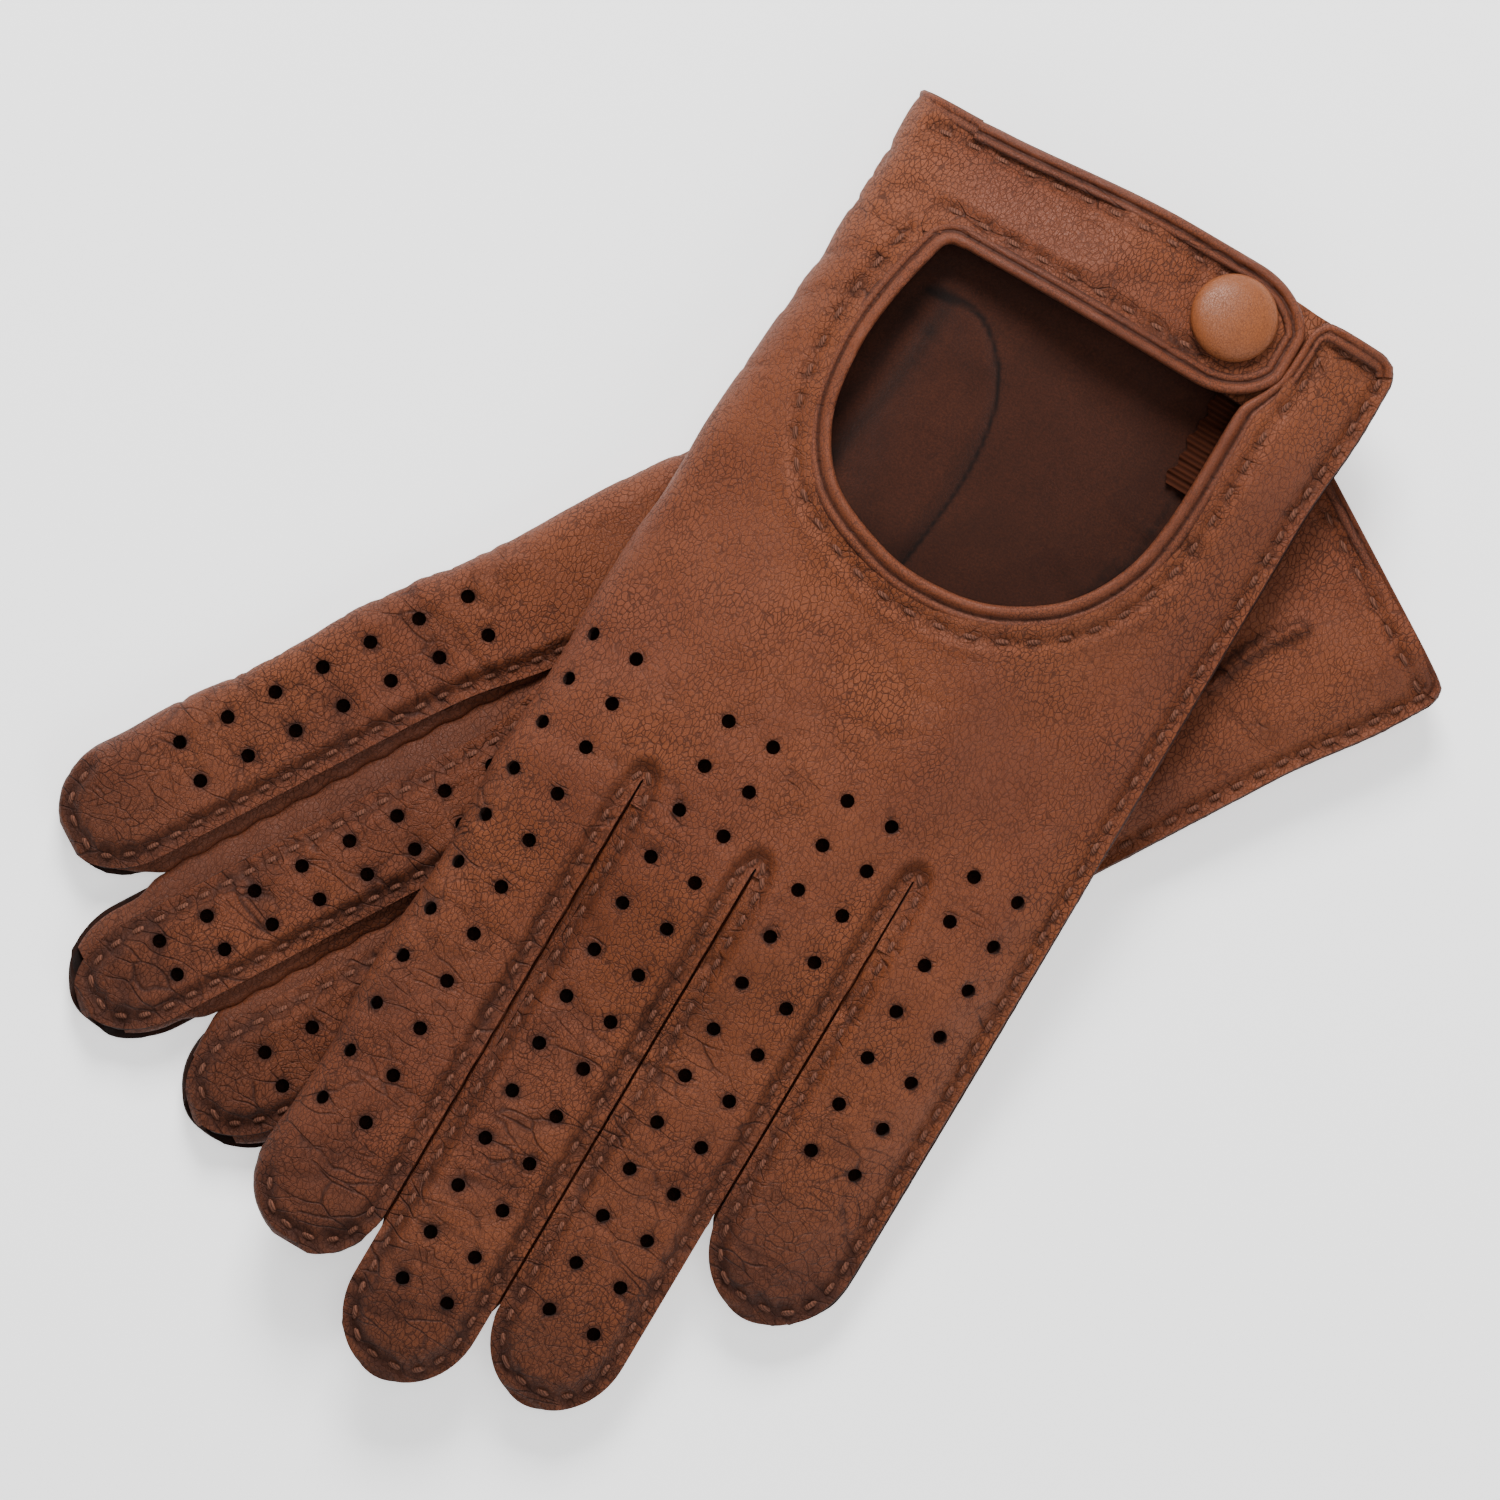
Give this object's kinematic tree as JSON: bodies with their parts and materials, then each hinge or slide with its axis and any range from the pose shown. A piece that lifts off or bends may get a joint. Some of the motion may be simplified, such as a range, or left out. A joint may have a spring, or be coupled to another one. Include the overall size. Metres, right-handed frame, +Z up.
{
  "type": "leather driving gloves",
  "caption": "Pair of unlined leather driving gloves lying crossed: perforated fingers with side gussets, open back window with rolled binding, wrist strap with a leather-covered snap.",
  "frame": {"origin": "centre of the footprint on the table surface, at the height of the lowest points", "axes": "+Z up; +Y from the upper (left) glove's fingertips to its cuff; +X towards its little finger side"},
  "size_m": [0.1942, 0.2392, 0.0314],
  "materials": {
    "glove_leather": "satin cognac brown, fine grain",
    "gusset_leather": "satin, darker brown",
    "binding_leather": "satin rolled edge",
    "cap_leather": "smooth stretched leather",
    "snap_metal": "antique brass",
    "elastic": "woven elastic",
    "suede_inside": "napped flesh side",
    "thread": "waxed sewing thread"
  },
  "bodies": {
    "right_glove": {"right_trank": "glove_leather", "right_cuff_hem": "binding_leather", "right_panel_hem": "binding_leather", "right_index_leather": "glove_leather", "right_middle_back": "glove_leather", "right_middle_palm": "glove_leather", "right_ring_back": "glove_leather", "right_ring_palm": "glove_leather", "right_little_back": "glove_leather", "right_little_palm": "glove_leather", "right_index_fourchette_to_middle": "gusset_leather", "right_middle_fourchette_to_index": "gusset_leather", "right_middle_fourchette_to_ring": "gusset_leather", "right_ring_fourchette_to_middle": "gusset_leather", "right_ring_fourchette_to_little": "gusset_leather", "right_little_fourchette_to_ring": "gusset_leather", "right_thumb": "glove_leather", "right_window_binding": "binding_leather", "right_snap_tab": "glove_leather", "right_snap_stud": "snap_metal", "right_snap_post": "snap_metal", "right_wrist_elastic": "elastic"},
    "right_strap": {"right_strap": "glove_leather", "right_strap_binding": "binding_leather", "right_cap_cover": "cap_leather", "right_cap_shell": "snap_metal", "right_snap_socket": "snap_metal"},
    "left_glove": {"left_trank": "glove_leather", "left_cuff_hem": "binding_leather", "left_panel_hem": "binding_leather", "left_thumb": "glove_leather", "left_window_binding": "binding_leather", "left_snap_tab": "glove_leather", "left_snap_stud": "snap_metal", "left_snap_post": "snap_metal", "left_wrist_elastic": "elastic"},
    "left_strap": {"left_strap": "glove_leather", "left_strap_binding": "binding_leather", "left_cap_cover": "cap_leather", "left_cap_shell": "snap_metal", "left_snap_socket": "snap_metal"},
    "left_index": {"left_index_leather": "glove_leather", "left_index_fourchette_to_middle": "gusset_leather"},
    "left_middle": {"left_middle_back": "glove_leather", "left_middle_palm": "glove_leather", "left_middle_fourchette_to_index": "gusset_leather", "left_middle_fourchette_to_ring": "gusset_leather"},
    "left_ring": {"left_ring_back": "glove_leather", "left_ring_palm": "glove_leather", "left_ring_fourchette_to_middle": "gusset_leather", "left_ring_fourchette_to_little": "gusset_leather"},
    "left_little": {"left_little_back": "glove_leather", "left_little_palm": "glove_leather", "left_little_fourchette_to_ring": "gusset_leather"}
  },
  "joints": [
    {"name": "left_glove_lift", "type": "slide", "parent": "right_glove", "child": "left_glove", "axis": [0, 0, 1], "range_m": [0, 0.15]},
    {"name": "left_index_fold", "type": "hinge", "parent": "left_glove", "child": "left_index", "pos_m": [-0.0246, -0.01507, 0.02589], "axis": [-1, 0, 0], "range_deg": [0, 60]},
    {"name": "left_middle_fold", "type": "hinge", "parent": "left_glove", "child": "left_middle", "pos_m": [-0.00095, -0.01507, 0.02836], "axis": [-1, 0, 0], "range_deg": [0, 60]},
    {"name": "left_ring_fold", "type": "hinge", "parent": "left_glove", "child": "left_ring", "pos_m": [0.02295, -0.01507, 0.02834], "axis": [-1, 0, 0], "range_deg": [0, 60]},
    {"name": "left_little_fold", "type": "hinge", "parent": "left_glove", "child": "left_little", "pos_m": [0.04775, -0.01507, 0.02456], "axis": [-1, 0, 0], "range_deg": [0, 60]},
    {"name": "left_strap_open", "type": "hinge", "parent": "left_glove", "child": "left_strap", "pos_m": [-0.02042, 0.10339, 0.02105], "axis": [0, -0.9624, 0.2716], "range_deg": [0, 150]},
    {"name": "right_strap_open", "type": "hinge", "parent": "right_glove", "child": "right_strap", "pos_m": [0.02193, 0.10507, 0.00388], "axis": [0.5255, 0.8508, 0.0063], "range_deg": [0, 150]}
  ]
}
